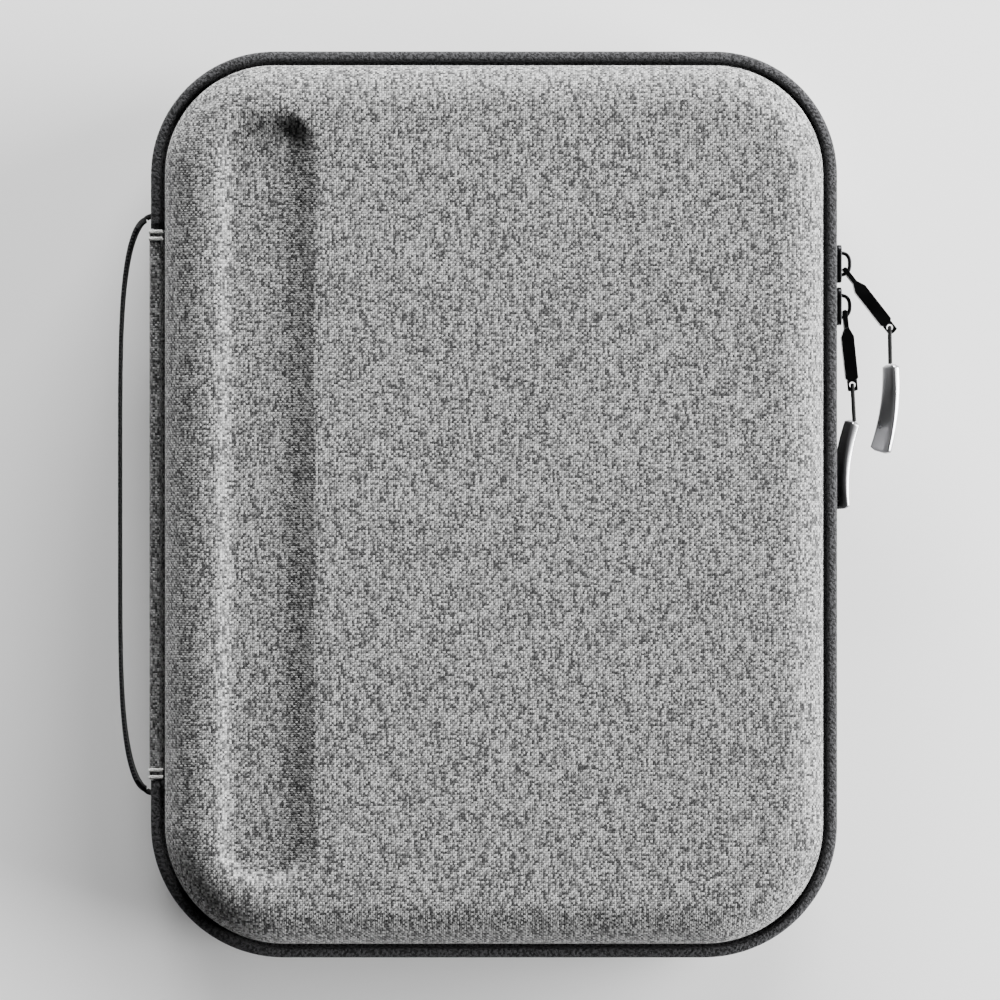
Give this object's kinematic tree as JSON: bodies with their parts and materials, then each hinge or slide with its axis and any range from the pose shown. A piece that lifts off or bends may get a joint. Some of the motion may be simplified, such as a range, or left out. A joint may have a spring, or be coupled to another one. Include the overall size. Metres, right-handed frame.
{
  "type": "tablet case",
  "caption": "Hard-shell zip case for a tablet: two moulded fabric halves on a folding spine, side handle, two zip pulls, elastic corner holders, mesh pocket and stylus loop inside.",
  "frame": {"origin": "centre of the back shell's flat outer face", "axes": "+Z out of the front face, +Y towards the top of the case, +X towards the zip sliders; the spine and handle are at -X"},
  "size_m": [0.2352, 0.272, 0.043],
  "materials": {
    "heather_fabric": "heather grey plain weave",
    "spine_fabric": "darker heather weave",
    "charcoal_tape": "charcoal twill tape",
    "coil_nylon": "black nylon zip coil",
    "fleece_lining": "soft dark fleece",
    "pocket_mesh": "black mesh",
    "elastic_band": "black elastic",
    "handle_webbing": "dark webbing",
    "white_thread": "white thread",
    "black_metal": "satin black metal",
    "pull_cord": "black cord",
    "gunmetal_grip": "satin gunmetal"
  },
  "bodies": {
    "back_half": {"back_shell": "heather_fabric", "back_lining": "fleece_lining", "back_rim_binding": "charcoal_tape", "back_zip_tape": "charcoal_tape", "back_zip_coil": "coil_nylon", "back_spine_hem": "spine_fabric", "back_bartack_upper": "white_thread", "back_bartack_lower": "white_thread", "corner_strap_upper_left": "elastic_band", "corner_strap_upper_right": "elastic_band", "corner_strap_lower_left": "elastic_band", "corner_strap_lower_right": "elastic_band"},
    "cover": {"front_shell": "heather_fabric", "front_lining": "fleece_lining", "front_rim_binding": "charcoal_tape", "front_zip_tape": "charcoal_tape", "front_zip_coil": "coil_nylon", "front_spine_hem": "spine_fabric", "front_bartack_upper": "white_thread", "front_bartack_lower": "white_thread", "pen_loop": "elastic_band", "pocket_gusset": "elastic_band", "pocket_mesh": "pocket_mesh", "pocket_zip_coil": "coil_nylon", "pocket_hem": "elastic_band"},
    "spine": {"spine_panel": "spine_fabric", "spine_lining": "fleece_lining", "handle_anchor_upper": "handle_webbing", "handle_anchor_lower": "handle_webbing"},
    "handle": {"handle_strap": "handle_webbing"},
    "upper_slider_body": {"upper_slider": "black_metal"},
    "upper_link_body": {"upper_pull_link": "black_metal"},
    "upper_grip_body": {"upper_pull_cord": "pull_cord", "upper_pull_grip": "gunmetal_grip"},
    "lower_slider_body": {"lower_slider": "black_metal"},
    "lower_link_body": {"lower_pull_link": "black_metal"},
    "lower_grip_body": {"lower_pull_cord": "pull_cord", "lower_pull_grip": "gunmetal_grip"},
    "pocket_slider_body": {"pocket_slider": "black_metal"},
    "pocket_pull_body": {"pocket_pull": "black_metal"}
  },
  "joints": [
    {"name": "spine_fold", "type": "hinge", "parent": "back_half", "child": "spine", "pos_m": [-0.1034, 0, 0.015], "axis": [0, -1, 0], "range_deg": [0, 90]},
    {"name": "cover_open", "type": "hinge", "parent": "spine", "child": "cover", "pos_m": [-0.1034, 0, 0.028], "axis": [0, -1, 0], "range_deg": [0, 90]},
    {"name": "handle_swing", "type": "hinge", "parent": "spine", "child": "handle", "pos_m": [-0.1048, 0, 0.0215], "axis": [0, 1, 0], "range_deg": [-15, 15]},
    {"name": "upper_slide", "type": "slide", "parent": "back_half", "child": "upper_slider_body", "axis": [0, 1, 0], "range_m": [0, 0.02]},
    {"name": "upper_pull_swing", "type": "hinge", "parent": "upper_slider_body", "child": "upper_link_body", "pos_m": [0.1057, 0.0707, 0.0215], "axis": [0, 0, 1], "range_deg": [-4, 50]},
    {"name": "upper_grip_swing", "type": "hinge", "parent": "upper_link_body", "child": "upper_grip_body", "pos_m": [0.11925, 0.05336, 0.0215], "axis": [0, 0, 1], "range_deg": [-5, 30]},
    {"name": "lower_slide", "type": "slide", "parent": "back_half", "child": "lower_slider_body", "axis": [0, 1, 0], "range_m": [-0.149, 0]},
    {"name": "lower_pull_swing", "type": "hinge", "parent": "lower_slider_body", "child": "lower_link_body", "pos_m": [0.1057, 0.0579, 0.0215], "axis": [0, 0, 1], "range_deg": [0, 4]},
    {"name": "lower_grip_swing", "type": "hinge", "parent": "lower_link_body", "child": "lower_grip_body", "pos_m": [0.108, 0.03602, 0.0215], "axis": [0, 0, 1], "range_deg": [0, 10]},
    {"name": "pocket_slide", "type": "slide", "parent": "cover", "child": "pocket_slider_body", "axis": [1, 0, 0], "range_m": [-0.1, 0]},
    {"name": "pocket_pull_swing", "type": "hinge", "parent": "pocket_slider_body", "child": "pocket_pull_body", "pos_m": [0.0618, 0.0497, 0.029], "axis": [0, 1, 0], "range_deg": [-90, 30]}
  ],
  "couplings": [
    {"joint": "spine_fold", "follows": "cover_open", "ratio": 1}
  ]
}
